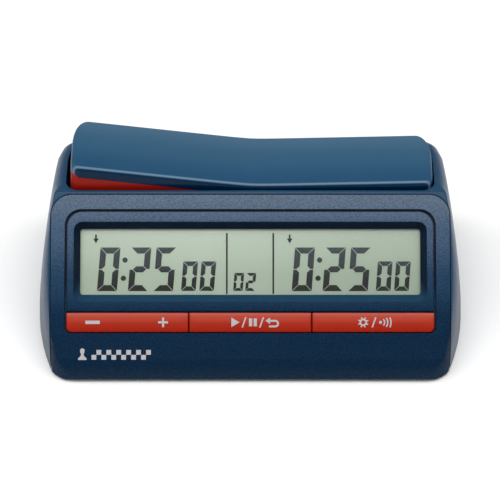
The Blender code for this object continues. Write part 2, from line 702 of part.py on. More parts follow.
def coil_contact(index, depth, facing, start):
    """A conical spring between a cell's flat end and the bay's wall."""
    turns, steps, length = 3, 12, 5.4
    points = []
    for step in range(turns * steps + 1):
        part = step / (turns * steps)
        turn = 2 * math.pi * turns * part
        reach = 2.2 + 1.8 * part
        x = start + facing * (0.7 + length * part)
        points.append((x, depth + reach * math.cos(turn), CELL_Z + reach * math.sin(turn)))
    wire(f"contact_spring_{index}", points, 0.35, METAL, 1)


def smooth_path(knots, pieces=5):
    """A Catmull-Rom curve through the knots."""
    padded = [Vector(knots[0])] + [Vector(knot) for knot in knots] + [Vector(knots[-1])]
    path = []
    for before, start, end, after in zip(padded, padded[1:], padded[2:], padded[3:]):
        for piece in range(pieces):
            t = piece / pieces
            linear = (end - before) * t
            square = (2 * before - 5 * start + 4 * end - after) * t**2
            cube = (3 * start - before - 3 * end + after) * t**3
            path.append(0.5 * (2 * start + linear + square + cube))
    path.append(Vector(knots[-1]))
    return path


def make_wires():
    for index, (depth, finish) in enumerate(zip(CELL_DEPTHS, (WIRE_RED, WIRE_BLACK)), 1):
        inner, end_depth = 40.0 + 4.0 * index, 41.0 - 4.0 * index
        board_z = PANEL_TOP_Z - (PANEL_TOP_DEPTH - end_depth) * math.tan(SLOPE) - 11.2 / math.cos(SLOPE)
        knots = ((29.0, depth, WIRE_Z), (32.0, depth, WIRE_Z), (34.5, depth - 0.5, WIRE_Z),
                 (inner, depth - 9.0, 16.0), (inner, 44.0, 16.0), (inner - 5.0, end_depth + 1.0, 17.0),
                 (inner - 7.0, end_depth, board_z - 1.4))
        wire(f"battery_wire_{index}", smooth_path(knots), 0.6, finish, 2)


def make_power_switch():
    box("power_switch", (42.0, 54.0), (36.5, 43.5), (6.0, 9.5), METAL)
    knob = box("power_knob", (44.0, 47.2), (38.4, 41.6), (0.7, 5.7), BLACK)
    soften(knob, 0.2, 1)


make_casing()
make_front_panel()
make_bezel()
make_display()
make_keys()
make_lever()
make_switches()
make_base_cover()
make_battery_door()
make_cells()
make_wires()
make_power_switch()
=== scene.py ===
"""Looks of a digital chess clock with a rocking lever, a sloping display panel and three keys.

Lengths are millimetres in the code and become metres in the meshes. FLOOR measures x, depth from
the front lip and height. PANEL lies in the sloping panel: x, distance up the slope from the
panel's top edge, and height above the panel's surface.
"""

import math
from typing import NamedTuple

import bmesh
import bpy
from mathutils import Matrix, Vector


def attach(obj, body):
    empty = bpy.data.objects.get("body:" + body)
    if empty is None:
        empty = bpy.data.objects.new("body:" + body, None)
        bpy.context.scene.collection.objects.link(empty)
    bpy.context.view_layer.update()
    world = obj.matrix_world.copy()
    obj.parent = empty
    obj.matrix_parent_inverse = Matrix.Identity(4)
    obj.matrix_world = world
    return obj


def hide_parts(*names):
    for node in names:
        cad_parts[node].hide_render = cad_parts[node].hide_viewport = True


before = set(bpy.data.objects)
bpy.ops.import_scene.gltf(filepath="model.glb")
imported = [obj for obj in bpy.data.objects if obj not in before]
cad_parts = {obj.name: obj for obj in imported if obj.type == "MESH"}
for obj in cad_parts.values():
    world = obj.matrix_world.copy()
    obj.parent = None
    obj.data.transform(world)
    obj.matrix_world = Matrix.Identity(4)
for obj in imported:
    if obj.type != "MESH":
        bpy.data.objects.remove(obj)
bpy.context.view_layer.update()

MM = 0.001

# Casing: its half width, heights, depths from the front lip, bows and radii
HALF_WIDTH = 76.9
DEPTH = 92.0
BASE_Z = 1.0
TOP_Z = 49.6
BACK_TOP_DEPTH = 77.4
BACK_LEAN = 0.30
WIDEST_DEPTH = 40.0
FRONT_BOW = 0.0050
REAR_BOW = 0.0015
DRAFT = 6.5
DRAFT_POWER = 1.5
FRONT_CORNER = 5.5
REAR_CORNER = 8.0
BASE_EDGE_RADIUS = 0.6
LIP_RADIUS = 9.0
LIP_EDGE_RADIUS = 0.9
REAR_EDGE_RADIUS = 7.0
WALL = 2.2
SIDE_WALL = 3.0
DOOR_NOTCH = ((-31.2, 84.0), (31.2, 84.0), (31.2, 96.0), (-31.2, 96.0))
DOOR_NOTCH_TOP = 3.6

# The rounded rim between the casing's middle and its sides
FLAT_HALF_WIDTH = 70.95
RIM_RADIUS = 6.0
RIM_FRONT_SHARE = 0.85
RIM_BACK_SHARE = 0.5
RIM_MARGIN = 0.6
RIM_MARGIN_GROWTH = 3.2
RIM_GROWS = (44.0, 52.0)

# Sloping panel, in a shelf of the casing; GAP and GROOVE are the joints round it and its opening
SLOPE = math.radians(43.0)
PANEL_TOP_DEPTH = 45.5
PANEL_TOP_Z = 49.0
PANEL_HALF_WIDTH = 70.7
PANEL_REACH = 90.0
PANEL_THICKNESS = 1.5
PANEL_CORNER = 7.3
SHELF = 1.8
SIDE_FADES = (6.0, 13.0)
GAP = 0.3
GROOVE = 0.48

# Display opening, its frame, the recess in the frame and the view of the display
WINDOW_HALF_WIDTH = 65.35
WINDOW_TOP = 5.9
WINDOW_BOTTOM = 49.5
BEZEL_HALF_WIDTH = 65.0
BEZEL_TOP = 6.3
BEZEL_BOTTOM = 41.9
RECESS_HALF_WIDTH = 62.6
RECESS_TOP = 9.95
RECESS_BOTTOM = 38.4
RECESS_SHADE_LEVEL = -0.20
VIEW_HALF_WIDTH = 60.5
VIEW_TOP = 12.1
VIEW_BOTTOM = 35.6

# Keys
KEY_TOP = 42.3
KEY_BOTTOM = 49.15
KEY_WIDTH = 43.15
KEY_PITCH = 43.5
KEY_FOOT = -5.0
KEY_MIDDLE = (KEY_TOP + KEY_BOTTOM) / 2
KEY_HALF_HEIGHT = (KEY_BOTTOM - KEY_TOP) / 2
KEY_EDGE = -0.15
KEY_SHOULDER = 0.35
KEY_CROWN = 0.42
KEY_CORNER = 0.5
KEY_INNER_FOOT = 0.4
KEY_OUTER_FOOT = 1.8

# Lever, its V, and the well that it rocks in
PIVOT_DEPTH = 61.3
PIVOT_Z = 42.2
LEVER_TILT = math.radians(3.15)
LEVER_V = math.radians(4.65)
LEVER_HALF = 64.5
LEVER_FRONT = 48.3
LEVER_BACK = 74.5
LEVER_FRONT_CORNER = 3.6
LEVER_BACK_CORNER = (5.5, 13.0)
LEVER_TOP_Z = 51.9
CAP_HEIGHT = 5.5
CAP_EDGE = 1.5
CAP_BROW = 11.0
CAP_BROW_DROP = 1.2
V_ROUNDING = 4.0
V_SINK = 6.74
WELL_FLOOR_Z = 37.0
WELL_CLEARANCE = 1.2
WELL_FRONT_SHARE = 1.30
TUB_WALL = 2.0

# Where cutters end, well clear of what they cut: heights over the floor, a move of the casing's top
# and heights over the panel
CUT_BASE_Z = -6.0
CUT_TOP_Z = 70.0
CUT_ROOF = -6.0
CUT_ABOVE = 12.0
PANEL_CUT_BELOW = -40.0
WINDOW_CUT_BELOW = -30.0

# Printing on the display, the keys and the lower panel
DIGIT_SLANT = math.tan(math.radians(4.5))
INK_LEVEL = -5.44
INK_SHIFT = -0.45
PICTOGRAM_BOTTOM = 59.0

# Just under the feet, so that the floor doesn't share their plane
FLOOR_LEVEL = -0.05

# Places that the shapes below are built in
FLOOR = Matrix.Translation(Vector((0.0, -DEPTH / 2, 0.0)) * MM)
PANEL = (
    Matrix.Translation(Vector((0.0, PANEL_TOP_DEPTH - DEPTH / 2, PANEL_TOP_Z)) * MM)
    @ Matrix.Rotation(SLOPE, 4, "X")
)
LEVER = (
    FLOOR
    @ Matrix.Translation(Vector((0.0, PIVOT_DEPTH, PIVOT_Z)) * MM)
    @ Matrix.Rotation(LEVER_TILT, 4, "Y")
)


# Materials


class Shader:
    """A node material with a Principled shader, in the frame's own coordinates."""

    def __init__(self, name):
        self.material = bpy.data.materials.new("look_" + name)
        self.material.use_nodes = True
        self.tree = self.material.node_tree
        self.principled = self.tree.nodes["Principled BSDF"]
        self.place = self.node("ShaderNodeTexCoord").outputs["Object"]

    def node(self, kind, **settings):
        """A new node with some of its settings."""
        made = self.tree.nodes.new(kind)
        for key, value in settings.items():
            setattr(made, key, value)
        return made

    def link(self, source, target):
        self.tree.links.new(source, target)

    def feed(self, source, name):
        """Links a socket to one of the Principled shader's inputs."""
        self.link(source, self.principled.inputs[name])

    def fixed(self, **values):
        """Plain values set on the Principled shader's own sockets."""
        for key, value in values.items():
            self.principled.inputs[key.replace("_", " ")].default_value = value

    def noise(self, size, detail=3.0, stretch=(1.0, 1.0, 1.0)):
        """Noise with features of a size in millimetres."""
        place = self.node("ShaderNodeMapping")
        place.inputs["Scale"].default_value = stretch
        self.link(self.place, place.inputs["Vector"])
        made = self.node("ShaderNodeTexNoise")
        made.inputs["Scale"].default_value = 1.0 / (size * MM)
        made.inputs["Detail"].default_value = detail
        self.link(place.outputs["Vector"], made.inputs["Vector"])
        return made.outputs["Fac"]

    def remap(self, source, low, high, start=0.0, end=1.0):
        """Values from start to end turned into values from low to high."""
        made = self.node("ShaderNodeMapRange")
        for key, value in (("From Min", start), ("From Max", end), ("To Min", low), ("To Max", high)):
            made.inputs[key].default_value = value
        self.link(source, made.inputs["Value"])
        return made.outputs["Result"]

    def combine(self, operation, first, second):
        """Sum or product of two sockets."""
        made = self.node("ShaderNodeMath", operation=operation)
        for socket, value in zip(made.inputs, (first, second)):
            self.link(value, socket)
        return made.outputs["Value"]

    def along(self, axis, start, end, stops):
        """A colour ramp along an axis of the frame between two places in millimetres."""
        split = self.node("ShaderNodeSeparateXYZ")
        self.link(self.place, split.inputs["Vector"])
        share = self.remap(split.outputs[axis], 0.0, 1.0, start * MM, end * MM)
        ramp = self.node("ShaderNodeValToRGB")
        ramp.color_ramp.interpolation = "EASE"
        elements = ramp.color_ramp.elements
        while len(elements) < len(stops):
            elements.new(0.5)
        for element, (position, colour) in zip(elements, stops):
            element.position = position
            element.color = (*linear(colour), 1.0)
        self.link(share, ramp.inputs["Fac"])
        return ramp.outputs["Color"]

    def blend(self, kind, share, first, second):
        """Two colours mixed in one of Blender's ways."""
        made = self.node("ShaderNodeMix", data_type="RGBA", blend_type=kind)
        colour_sockets = [socket for socket in made.inputs if socket.type == "RGBA"]
        for socket, value in zip((made.inputs["Factor"], *colour_sockets), (share, first, second)):
            if isinstance(value, (float, tuple)):
                socket.default_value = value
            else:
                self.link(value, socket)
        return next(socket for socket in made.outputs if socket.type == "RGBA")

    def shade(self, colour, value):
        """The colour multiplied by a value, the same for all its channels."""
        grey = self.node("ShaderNodeCombineXYZ")
        for socket in grey.inputs:
            self.link(value, socket)
        return self.blend("MULTIPLY", 1.0, colour, grey.outputs["Vector"])

    def tint(self, colour, spread, size):
        """The colour made unevenly lighter and darker in patches."""
        return self.shade(colour, self.remap(self.noise(size, 4.0), 1.0 - spread, 1.0 + spread))

    def rub_and_highlight_edges(self, colour, soft, size, most, wear_and_highlight_colour):
        """The colour lightened in patches along sharp edges: rubbed wear, and a painted edge highlight."""
        patches = self.remap(self.noise(size), 0.0, most)
        share = self.combine("MULTIPLY", self.edge_share(soft), patches)
        return self.blend("SCREEN", share, colour, (*linear(wear_and_highlight_colour), 1.0))

    def relief(self, height, depth, strength=1.0, under=None):
        """Bumps of a depth in millimetres."""
        made = self.node("ShaderNodeBump")
        made.inputs["Strength"].default_value = strength
        made.inputs["Distance"].default_value = depth * MM
        self.link(height, made.inputs["Height"])
        if under is not None:
            self.link(under, made.inputs["Normal"])
        return made.outputs["Normal"]

    def soft_edges(self, radius):
        """A normal that rounds sharp edges to a radius in millimetres."""
        made = self.node("ShaderNodeBevel", samples=6)
        made.inputs["Radius"].default_value = radius * MM
        return made.outputs["Normal"]

    def edge_share(self, soft):
        """1 on sharp edges and 0 on flats."""
        plain = self.node("ShaderNodeNewGeometry")
        made = self.node("ShaderNodeVectorMath", operation="DOT_PRODUCT")
        self.link(soft, made.inputs[0])
        self.link(plain.outputs["Normal"], made.inputs[1])
        return self.remap(made.outputs["Value"], 0.0, 1.0, 0.99, 0.75)


# Colours of rubbed edges that also paint a highlight along them, as display values
PLASTIC_WEAR_AND_HIGHLIGHT = (120, 135, 150)
PANEL_WEAR_AND_HIGHLIGHT = (110, 125, 145)


def linear(colour):
    """Display values from 0 to 255 as linear light."""
    return tuple(
        value / 255 / 12.92 if value <= 10 else ((value / 255 + 0.055) / 1.055) ** 2.4
        for value in colour
    )


def moulded(name, colour, roughness, grain=0.04, size=0.5, spread=0.05, edge=0.25, edge_wear_and_highlight=0.3,
            specular=0.5):
    """Moulded plastic: colour is display values or a function that returns a colour socket."""
    shader = Shader(name)
    base = colour(shader) if callable(colour) else (*linear(colour), 1.0)
    soft = shader.soft_edges(edge)
    # Sharp edges lightened: rubbed wear and a painted edge highlight
    base = shader.rub_and_highlight_edges(shader.tint(base, spread, 9.0), soft, 2.5, edge_wear_and_highlight, PLASTIC_WEAR_AND_HIGHLIGHT)
    shader.feed(base, "Base Color")
    shader.feed(shader.remap(shader.noise(1.6, 5.0), roughness - 0.04, roughness + 0.05), "Roughness")
    shader.feed(shader.relief(shader.noise(size, 2.0), grain, 0.6, soft), "Normal")
    shader.fixed(Specular_IOR_Level=specular)
    return shader.material


def pebbled(name, colour, roughness, grain, size, specular):
    """Plastic with a moulded leather grain: rounded pebbles with creases between them."""
    shader = Shader(name)
    wander = shader.node("ShaderNodeTexNoise")
    wander.inputs["Scale"].default_value = 1.0 / (1.7 * size * MM)
    shader.link(shader.place, wander.inputs["Vector"])
    moved = shader.node("ShaderNodeVectorMath", operation="MULTIPLY_ADD")
    moved.inputs[1].default_value = (size * MM * 0.6,) * 3
    shader.link(wander.outputs["Color"], moved.inputs[0])
    shader.link(shader.place, moved.inputs[2])
    cells = shader.node("ShaderNodeTexVoronoi", feature="SMOOTH_F1")
    cells.inputs["Scale"].default_value = 1.0 / (size * MM)
    cells.inputs["Smoothness"].default_value = 0.35
    shader.link(moved.outputs["Vector"], cells.inputs["Vector"])
    pebbles = shader.remap(cells.outputs["Distance"], 1.0, 0.0, 0.0, 0.75)
    height = shader.combine("ADD", pebbles, shader.remap(shader.noise(size * 0.4, 2.0), 0.0, 0.35))
    soft = shader.soft_edges(0.15)
    # Painted shade: the colour is darker in the creases between the pebbles
    painted_crease_shade = shader.remap(pebbles, 0.68, 1.15)
    base = shader.shade(shader.tint(colour(shader), 0.05, 11.0), painted_crease_shade)
    # The grain's sharp edges lightened: rubbed wear and a painted edge highlight
    shader.feed(shader.rub_and_highlight_edges(base, soft, 2.0, 0.10, PANEL_WEAR_AND_HIGHLIGHT), "Base Color")
    shader.feed(shader.remap(pebbles, roughness + 0.12, roughness - 0.05), "Roughness")
    shader.feed(shader.relief(height, grain, 1.0, soft), "Normal")
    shader.fixed(Specular_IOR_Level=specular)
    return shader.material


def brushed(name, colour, roughness):
    """Metal with fine drawn lines along x."""
    shader = Shader(name)
    lines = shader.noise(1.2, 6.0, (1.0, 12.0, 12.0))
    shader.feed(shader.tint((*linear(colour), 1.0), 0.10, 3.0), "Base Color")
    shader.feed(shader.remap(lines, roughness - 0.08, roughness + 0.12), "Roughness")
    shader.feed(shader.relief(lines, 0.02, 0.5), "Normal")
    shader.fixed(Metallic=1.0)
    return shader.material


def clear_sheet(name):
    """Thin clear plastic that lets light through without bending it."""
    shader = Shader(name)
    through = shader.node("ShaderNodeBsdfTransparent")
    through.inputs["Color"].default_value = (0.97, 0.985, 0.97, 1.0)
    gloss = shader.node("ShaderNodeBsdfGlossy")
    scuffs = shader.noise(5.0, 6.0, (1.0, 3.0, 1.0))
    shader.link(shader.remap(scuffs, 0.10, 0.20), gloss.inputs["Roughness"])
    sheen = shader.node("ShaderNodeFresnel")
    sheen.inputs["IOR"].default_value = 1.30
    mixed = shader.node("ShaderNodeMixShader")
    shader.link(sheen.outputs["Fac"], mixed.inputs["Fac"])
    shader.link(through.outputs["BSDF"], mixed.inputs[1])
    shader.link(gloss.outputs["BSDF"], mixed.inputs[2])
    output = shader.tree.nodes["Material Output"]
    shader.link(mixed.outputs["Shader"], output.inputs["Surface"])
    return shader.material


# Colours that change along the clock, as display values at shares of a distance; they paint light and shade
# into the colour


# Painted sheen: the panel grows lighter and greyer up towards its top edge and is darkest low down near the
# lip
def panel_colours_painted_sheen(shader):
    return shader.along("Z", 2.0, 48.5, (
        (0.00, (14, 42, 68)), (0.14, (1, 36, 62)), (0.36, (3, 38, 66)),
        (0.55, (30, 60, 88)), (0.80, (66, 88, 114)), (1.00, (92, 109, 128)),
    ))


# Painted light from the lever's front to its back: the front face dark as painted shade, a light stripe on
# the front edge as a painted highlight, and the top lighter towards the back as a painted reflection
def lever_colours_painted_light(shader):
    return shader.along("Y", 2.0, 29.0, (
        (0.000, (0, 34, 60)), (0.026, (0, 36, 64)), (0.042, (86, 114, 136)), (0.050, (86, 114, 136)),
        (0.066, (30, 69, 98)), (0.5, (40, 79, 106)), (1.0, (60, 92, 116)),
    ))


# Painted shade: the casing darker towards its base and lighter towards its top
def casing_colours_painted_shade(shader):
    return shader.along("Z", 0.0, 50.0, ((0.0, (1, 40, 68)), (0.8, (6, 54, 84)), (1.0, (10, 56, 86))))


# Painted light up each key: darker towards its lower edge, with a painted highlight along its upper edge
def key_colours_painted_light(shader):
    return shader.along("Z", 14.8, 20.4, (
        (0.0, (138, 26, 2)), (0.18, (146, 24, 1)), (0.5, (152, 30, 4)), (0.82, (162, 50, 30)),
        (1.0, (170, 82, 70)),
    ))


# Painted light on the display: lighter towards its top edge and its left end, darker towards its bottom and
# right end
def display_colours_painted_light(shader):
    tall = shader.along("Z", 24.0, 41.0, (
        (0.0, (180, 191, 176)), (0.55, (194, 204, 191)), (1.0, (250, 252, 250)),
    ))
    wide = shader.along("X", -60.0, 60.0, (
        (0.0, (250, 251, 250)), (0.3, (255, 255, 255)), (1.0, (232, 234, 233)),
    ))
    return shader.blend("MULTIPLY", 1.0, tall, wide)


# Painted shade in the display's recess: its walls dark, and the upward-facing lower wall lighter where
# light falls
def recess_painted_shade_colours(shader):
    return shader.along("Z", 22.0, 43.0, (
        (0.0, (16, 56, 80)), (0.10, (12, 46, 70)), (0.18, (4, 24, 42)), (1.0, (4, 24, 42)),
    ))


# Painted haze on the display's digits: darkest towards their bottom, lighter and greyer towards their top
def ink_colours_painted_haze(shader):
    return shader.along("Z", 24.5, 38.0, ((0.0, (8, 10, 12)), (0.3, (44, 52, 58)), (1.0, (74, 84, 92))))


SMALL_EDGES = {"edge": 0.15, "edge_wear_and_highlight": 0.1, "specular": 0.15}
FLAT_INK = {"grain": 0.004, "size": 0.3, "spread": 0.10, "edge": 0.05, "edge_wear_and_highlight": 0.0, "specular": 0.2}

CASING_BLUE = moulded("casing_blue", casing_colours_painted_shade, 0.32, grain=0.015, size=0.8, specular=0.22)
LEVER_BLUE = moulded("lever_blue", lever_colours_painted_light, 0.24, grain=0.012, size=0.9, spread=0.04, specular=0.14)
PANEL_BLUE = pebbled("panel_blue", panel_colours_painted_sheen, 0.45, grain=0.17, size=0.58, specular=0.07)
# Painted shade: a darker material for the display's recess and the groove round the panel
RECESS_PAINTED_SHADE = moulded("recess_painted_shade", recess_painted_shade_colours, 0.30, grain=0.01, size=0.8, spread=0.04, **SMALL_EDGES)
LEVER_RED = moulded("lever_red", (150, 26, 14), 0.42, grain=0.03, size=0.6, specular=0.15)
KEY_RED = moulded("key_red", key_colours_painted_light, 0.40, grain=0.025, spread=0.03, **SMALL_EDGES)
CASING_BLACK = moulded("cover_black", (26, 27, 30), 0.50, grain=0.06)
RUBBER = moulded("foot_rubber", (24, 24, 24), 0.85, grain=0.08, size=0.35, spread=0.12)
BOARD_GREEN = moulded("board_green", (22, 92, 52), 0.40, grain=0.02, size=0.4, spread=0.10)
EPOXY = moulded("epoxy", (16, 16, 17), 0.28, grain=0.02, size=0.8)
SILICONE = moulded("silicone", (120, 122, 124), 0.70, grain=0.03, size=0.4)
CARBON = moulded("carbon", (22, 22, 23), 0.80, grain=0.03, size=0.3)
SLEEVE = moulded("cell_sleeve", (58, 64, 70), 0.30, grain=0.01, size=1.0)
WIRE_RED = moulded("wire_red", (150, 26, 20), 0.45, grain=0.01, size=0.3)
WIRE_BLACK = moulded("wire_black", (26, 26, 28), 0.45, grain=0.01, size=0.3)
DISPLAY = moulded("display_green", display_colours_painted_light, 0.42, grain=0.008, size=0.3, spread=0.015,
                  edge=0.05, edge_wear_and_highlight=0.0, specular=0.3)
INK = moulded("display_ink", ink_colours_painted_haze, 0.55, **FLAT_INK)
INK_DARK = moulded("display_ink_dark", (12, 15, 17), 0.55, **FLAT_INK)
PRINT = moulded("white_print", (166, 163, 166), 0.55, grain=0.01, size=0.2, spread=0.04, edge=0.05,
                edge_wear_and_highlight=0.0)
STEEL = brushed("zinc_steel", (168, 170, 172), 0.34)
METAL = brushed("bright_metal", (196, 197, 198), 0.28)
CLEAR = clear_sheet("clear_sheet")


# Building helpers


def outline_fillet(corners, radii, steps):
    """Rounds the corners of a closed outline, each with its own radius and number of steps."""
    outline = []
    for index, corner in enumerate(corners):
        point = Vector(corner)
        to_last = (Vector(corners[index - 1]) - point).normalized()
        to_next = (Vector(corners[(index + 1) % len(corners)]) - point).normalized()
        half = to_last.angle(to_next) / 2
        radius = radii[index]
        centre = point + (to_last + to_next).normalized() * radius / math.sin(half)
        start = point + to_last * radius / math.tan(half) - centre
        end = point + to_next * radius / math.tan(half) - centre
        turn = start.angle_signed(end)
        for step in range(steps[index] + 1):
            arm = Matrix.Rotation(-turn * step / steps[index], 2) @ start
            outline.append(centre + arm)
    return outline


def rounded_rect(left, right, low, high, top, bottom, steps=10):
    corners = ((left, low), (right, low), (right, high), (left, high))
    return outline_fillet(corners, (bottom, bottom, top, top), (steps,) * 4)


def finish_mesh(name, bm, finish, place, sharp=35.0):
    """A piece from a mesh in millimetres, with edges sharper than an angle in degrees kept sharp."""
    bmesh.ops.recalc_face_normals(bm, faces=bm.faces)
    bmesh.ops.scale(bm, vec=Vector((MM, MM, MM)), verts=bm.verts)
    bmesh.ops.transform(bm, matrix=place, verts=bm.verts)
    mesh = bpy.data.meshes.new(name)
    bm.to_mesh(mesh)
    bm.free()
    mesh.shade_smooth()
    mesh.set_sharp_from_angle(angle=math.radians(sharp))
    if finish is not None:
        mesh.materials.append(finish)
    made = bpy.data.objects.new(name, mesh)
    bpy.context.scene.collection.objects.link(made)
    return made


def skin(name, rings, finish, place, closed=False, sharp=35.0, triangles=False):
    """Skins rings of equal count; closed joins the last ring to the first instead of capping."""
    bm = bmesh.new()
    grid = [[bm.verts.new(point) for point in ring] for ring in rings]
    count = len(rings[0])
    pairs = list(zip(grid, grid[1:]))
    if closed:
        pairs.append((grid[-1], grid[0]))
    for near, far in pairs:
        for index in range(count):
            after = (index + 1) % count
            bm.faces.new((near[index], near[after], far[after], far[index]))
    if not closed:
        bm.faces.new(grid[0])
        bm.faces.new(grid[-1])
    if triangles:
        bmesh.ops.triangulate(bm, faces=bm.faces)
    return finish_mesh(name, bm, finish, place, sharp)


def cutter(name, outline, low, high, place):
    """A prism that only cuts other pieces."""
    rings = [[Vector((point[0], point[1], height)) for point in outline] for height in (low, high)]
    return skin(name, rings, None, place)


def carve(target, steps):
    """Applies Booleans with throw-away cutters and keeps the result as the mesh."""
    for operation, other in steps:
        step = target.modifiers.new(operation.lower(), "BOOLEAN")
        step.operation = operation
        step.object = other
        step.solver = "EXACT"
    bpy.context.view_layer.update()
    graph = bpy.context.evaluated_depsgraph_get()
    mesh = bpy.data.meshes.new_from_object(target.evaluated_get(graph))
    target.modifiers.clear()
    target.data = mesh
    mesh.shade_smooth()
    mesh.set_sharp_from_angle(angle=math.radians(CASING_SHARP))
    for _, other in steps:
        bpy.data.objects.remove(other, do_unlink=True)


def shade_recess(piece, low, high):
    """Gives faces between two heights over the panel, in millimetres, the recess's painted shade: its
    darker material.
    """
    piece.data.materials.append(RECESS_PAINTED_SHADE)
    into_panel = PANEL.inverted()
    for face in piece.data.polygons:
        height = (into_panel @ face.center).z / MM
        face.material_index = 1 if low < height < high else 0


# Casing surface


def corner_cut(distance, radius):
    """How far a rounded corner stands back at a distance from its end."""
    reach = min(max(radius - distance, 0.0), radius)
    return radius - math.sqrt(radius**2 - reach**2)


def smooth_step(value, start, end):
    part = min(max((value - start) / (end - start), 0.0), 1.0)
    return part * part * (3 - 2 * part)


def back_depth(z):
    """Depth of the leaning back at a height."""
    return BACK_TOP_DEPTH + (TOP_Z - z) * BACK_LEAN


def side_x(depth, z):
    """Half width of the casing at a depth and a height."""
    bow = (FRONT_BOW if depth < WIDEST_DEPTH else REAR_BOW) * (depth - WIDEST_DEPTH) ** 2
    draft = DRAFT * (max(z, 0.0) / PANEL_TOP_Z) ** DRAFT_POWER
    ends = corner_cut(depth, FRONT_CORNER) + corner_cut(back_depth(z) - depth, REAR_CORNER)
    return HALF_WIDTH - bow - draft - ends


def flat_x(depth, z):
    """Half width of the casing's middle, where its rounded rim starts."""
    margin = RIM_MARGIN + RIM_MARGIN_GROWTH * smooth_step(depth, *RIM_GROWS)
    panel = FLAT_HALF_WIDTH - corner_cut(depth, FRONT_CORNER)
    return min(panel, side_x(depth, z) - margin)


def casing_profile(front, panel, top, back, floor_z, detail):
    """Depths and heights round the casing's middle, with each of its faces moved inwards."""
    back_shift = back * math.hypot(1.0, BACK_LEAN)
    level = PANEL_TOP_Z - panel / math.cos(SLOPE)
    top_z = TOP_Z - top
    corners = (
        (front, floor_z),
        (front, level - (PANEL_TOP_DEPTH - front) * math.tan(SLOPE)),
        (PANEL_TOP_DEPTH + (top_z - level) / math.tan(SLOPE), top_z),
        (back_depth(top_z) - back_shift, top_z),
        (back_depth(floor_z) - back_shift, floor_z),
    )
    radii = (BASE_EDGE_RADIUS, max(LIP_RADIUS - panel, 1.0), LIP_EDGE_RADIUS,
             max(REAR_EDGE_RADIUS - top, 1.5), BASE_EDGE_RADIUS)
    rounded = outline_fillet(corners, radii, detail.corner_steps)
    outline, first = [], 0
    for step_count, span in zip(detail.corner_steps, detail.spans):
        last = first + step_count
        outline += rounded[first:last + 1]
        start, end = rounded[last], rounded[(last + 1) % len(rounded)]
        outline += [start.lerp(end, part / span) for part in range(1, span)]
        first = last + 1
    return outline


# Edges of the casing's pieces are sharp above this angle in degrees
CASING_SHARP = 32.0


class Detail(NamedTuple):
    """Steps round each corner of the casing's profile, along each of its sides and over its rim."""

    corner_steps: tuple
    spans: tuple
    rim_steps: int


COARSE = Detail((1, 5, 2, 5, 1), (1, 8, 4, 5, 9), 4)
FINE = Detail((1, 10, 4, 14, 1), (1, 8, 6, 7, 12), 8)
CHEEK_SHRINKS = (0.78, 0.50, 0.22)


def casing_form(name, finish, front=0.0, panel=0.0, top=0.0, back=0.0, side=0.0, fade=False,
                floor_z=BASE_Z, detail=COARSE):
    """The casing's form, or the same form moved inwards; fade undoes the sides' move behind the lip."""

    def inset_at(depth):
        return side * (1.0 - smooth_step(depth, *SIDE_FADES)) if fade else side

    def ring(sign, drop, spread):
        points = []
        for depth, z in casing_profile(front + RIM_FRONT_SHARE * drop, panel + drop, top + drop,
                                       back + RIM_BACK_SHARE * drop, floor_z, detail):
            flat = flat_x(depth, z) - inset_at(depth)
            edge = side_x(depth, z) - inset_at(depth)
            points.append(Vector((sign * (flat + spread * (edge - flat)), depth, z)))
        return points

    def cheek(sign, shrink):
        rim = ring(sign, RIM_RADIUS, 1.0)
        heart = sum(rim, Vector()) / len(rim)
        points = []
        for point in rim:
            moved = heart + (point - heart) * shrink
            half = side_x(moved.y, moved.z) - inset_at(moved.y)
            points.append(Vector((sign * half, moved.y, moved.z)))
        return points

    def end_rings(sign):
        made = []
        for step in range(detail.rim_steps + 1):
            turn = math.pi / 2 * step / detail.rim_steps
            made.append(ring(sign, RIM_RADIUS * (1 - math.cos(turn)), math.sin(turn)))
        return made + [cheek(sign, shrink) for shrink in CHEEK_SHRINKS]

    rings = list(reversed(end_rings(-1))) + end_rings(1)
    return skin(name, rings, finish, FLOOR, sharp=CASING_SHARP, triangles=True)


def lever_plan(x, grow=0.0):
    """Front and back depth of the lever's plan at a distance from its middle."""
    half = LEVER_HALF + grow
    corner = LEVER_FRONT_CORNER + grow
    reach = min(max(abs(x) - (half - corner), 0.0), corner)
    front = LEVER_FRONT - grow * WELL_FRONT_SHARE + corner - math.sqrt(corner**2 - reach**2)
    end_x, end_y = LEVER_BACK_CORNER[0] + grow / 2, LEVER_BACK_CORNER[1] + grow
    reach = min(max(abs(x) - (half - end_x), 0.0) / end_x, 1.0)
    back = LEVER_BACK + grow - end_y * (1 - math.sqrt(1 - reach**2))
    return front, back


def lever_stations(half, count):
    """Places along the lever, closer together towards its ends."""
    return [half * math.sin(math.pi / 2 * step / count) for step in range(-count, count + 1)]


def well_outline(grow):
    """The lever's plan with room round it."""
    stations = lever_stations(LEVER_HALF + grow, 36)
    front = [(x, lever_plan(x, grow)[0]) for x in stations]
    back = [(x, lever_plan(x, grow)[1]) for x in reversed(stations)]
    return front + back


def panel_plan(name, half, top, corner):
    """Cutter with the panel's plan, open at the front lip."""
    outline = rounded_rect(-half, half, -PANEL_REACH, -top, corner, 1.0, 16)
    return cutter(name, outline, PANEL_CUT_BELOW, CUT_ABOVE, PANEL)


def window(name, half, top, bottom, corner_top, corner_bottom):
    """Cutter for an opening in the panel."""
    outline = rounded_rect(-half, half, -bottom, -top, corner_top, corner_bottom)
    return cutter(name, outline, WINDOW_CUT_BELOW, CUT_ABOVE, PANEL)


